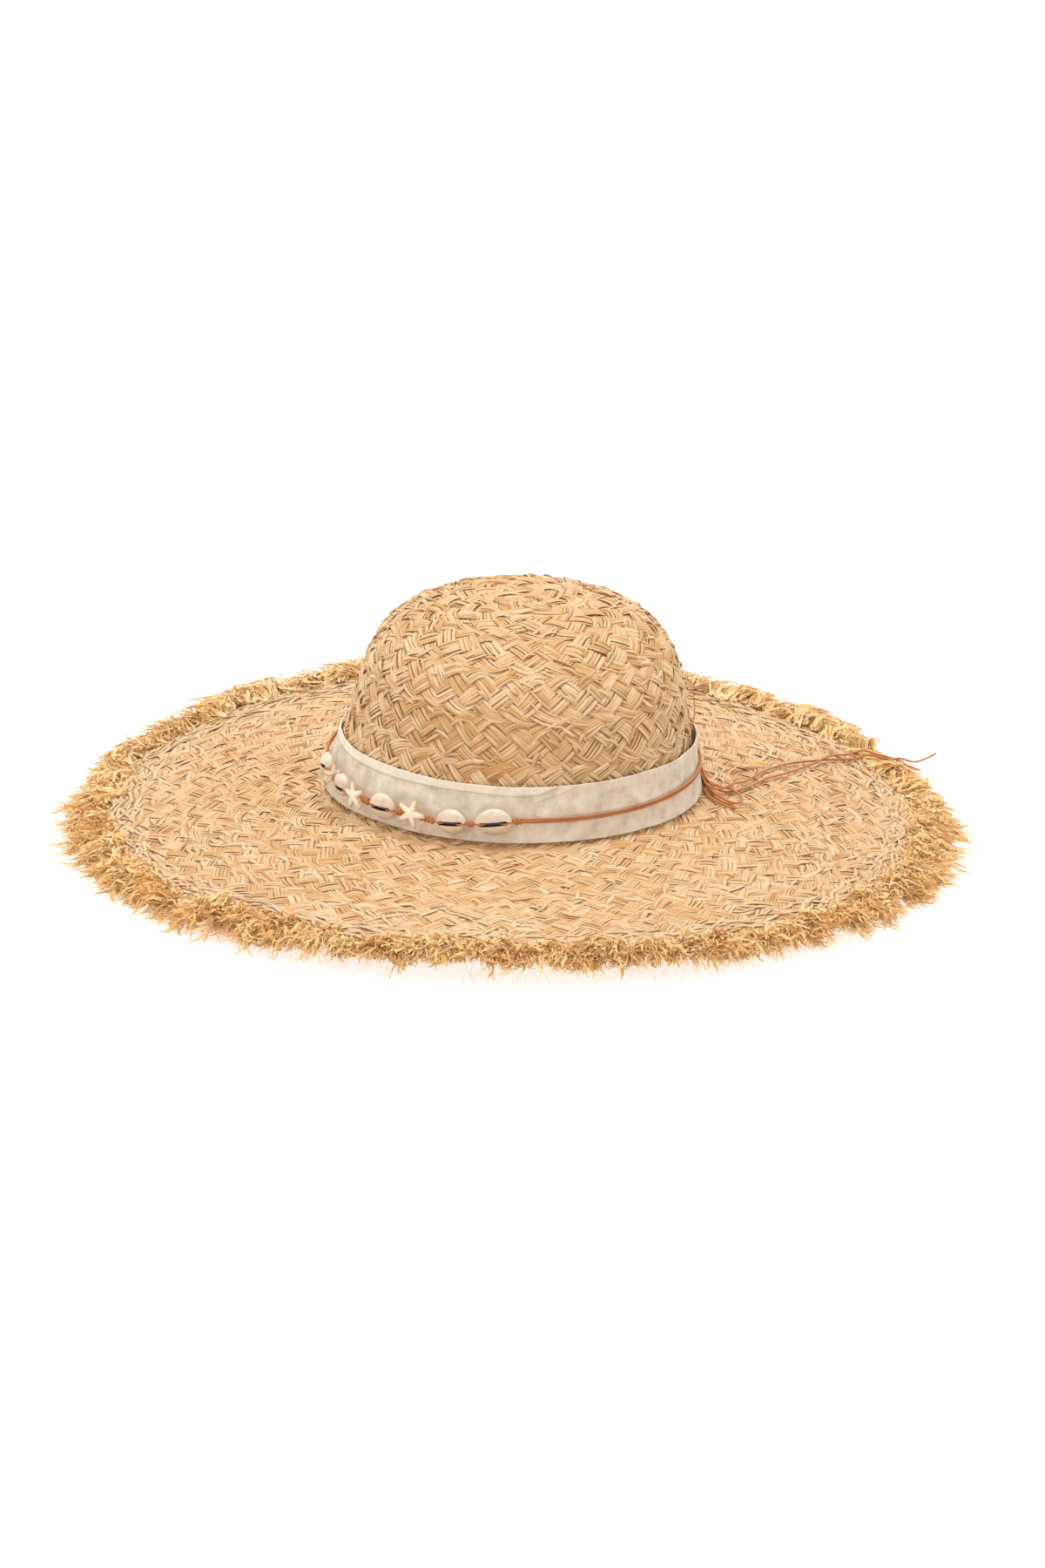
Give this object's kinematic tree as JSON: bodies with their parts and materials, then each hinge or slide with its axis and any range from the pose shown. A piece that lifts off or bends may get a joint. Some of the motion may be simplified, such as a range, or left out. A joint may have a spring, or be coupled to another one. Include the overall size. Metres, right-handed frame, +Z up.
{
  "type": "straw sun hat",
  "caption": "Wide-brimmed plaited raffia sun hat with a frayed edge, linen band and a waxed cord of cowrie and starfish beads tied in a bow.",
  "frame": {"origin": "on the ground under the middle of the crown, in the plane the brim's low sides stand on", "axes": "+Z up the crown's axis, -Y the front, +X the side where the bow hangs"},
  "size_m": [0.481, 0.481, 0.1328],
  "materials": {
    "raffia": "matte",
    "fringe": "matte",
    "linen": "matte",
    "cotton": "matte",
    "thread": "matte",
    "waxed_cord": "satin",
    "shell": "gloss",
    "starfish": "matte"
  },
  "bodies": {
    "hat": {"crown_braid": "raffia", "brim_braid": "raffia", "brim_fringe": "fringe", "fringe_heading": "fringe", "sweatband": "cotton", "sweatband_thread": "thread", "linen_band": "linen", "knot_1": "waxed_cord", "knot_2": "waxed_cord", "knot_3": "waxed_cord", "knot_4": "waxed_cord", "knot_5": "waxed_cord", "knot_6": "waxed_cord", "knot_7": "waxed_cord", "knot_8": "waxed_cord", "knot_9": "waxed_cord", "bead_cord": "waxed_cord", "front_cord_upper": "waxed_cord", "front_cord_lower": "waxed_cord", "back_cord_upper": "waxed_cord", "back_cord_lower": "waxed_cord", "bow_knot": "waxed_cord", "bow_tail_a": "waxed_cord", "bow_tail_b": "waxed_cord", "bow_loop_a": "waxed_cord", "bow_loop_b": "waxed_cord"},
    "cowrie_1": {"cowrie_1": "shell"},
    "cowrie_2": {"cowrie_2": "shell"},
    "starfish_1": {"starfish_1": "starfish"},
    "cowrie_3": {"cowrie_3": "shell"},
    "starfish_2": {"starfish_2": "starfish"},
    "cowrie_4": {"cowrie_4": "shell"},
    "starfish_3": {"starfish_3": "starfish"},
    "cowrie_5": {"cowrie_5": "shell"}
  },
  "joints": [
    {"name": "cowrie_1_rock", "type": "hinge", "parent": "hat", "child": "cowrie_1", "pos_m": [-0.00958, -0.09946, 0.0452], "axis": [0.9885, -0.1157, 0.097], "range_deg": [-8, 8]},
    {"name": "cowrie_2_rock", "type": "hinge", "parent": "hat", "child": "cowrie_2", "pos_m": [-0.03148, -0.09517, 0.0434], "axis": [0.9528, -0.3017, 0.0326], "range_deg": [-8, 8]},
    {"name": "starfish_1_rock", "type": "hinge", "parent": "hat", "child": "starfish_1", "pos_m": [-0.05054, -0.08649, 0.0438], "axis": [0.8649, -0.5019, -0.0074], "range_deg": [-15, 15]},
    {"name": "cowrie_3_rock", "type": "hinge", "parent": "hat", "child": "cowrie_3", "pos_m": [-0.06678, -0.07469, 0.0437], "axis": [0.7488, -0.6627, -0.0104], "range_deg": [-8, 8]},
    {"name": "starfish_2_rock", "type": "hinge", "parent": "hat", "child": "starfish_2", "pos_m": [-0.07941, -0.06093, 0.0442], "axis": [0.617, -0.7863, -0.0324], "range_deg": [-15, 15]},
    {"name": "cowrie_4_rock", "type": "hinge", "parent": "hat", "child": "cowrie_4", "pos_m": [-0.0877, -0.04802, 0.0448], "axis": [0.4752, -0.8741, -0.1008], "range_deg": [-8, 8]},
    {"name": "starfish_3_rock", "type": "hinge", "parent": "hat", "child": "starfish_3", "pos_m": [-0.09261, -0.03667, 0.047], "axis": [0.3438, -0.928, -0.1435], "range_deg": [-8, 8]},
    {"name": "cowrie_5_rock", "type": "hinge", "parent": "hat", "child": "cowrie_5", "pos_m": [-0.09609, -0.02539, 0.0483], "axis": [0.2501, -0.9668, -0.0524], "range_deg": [-8, 8]}
  ]
}
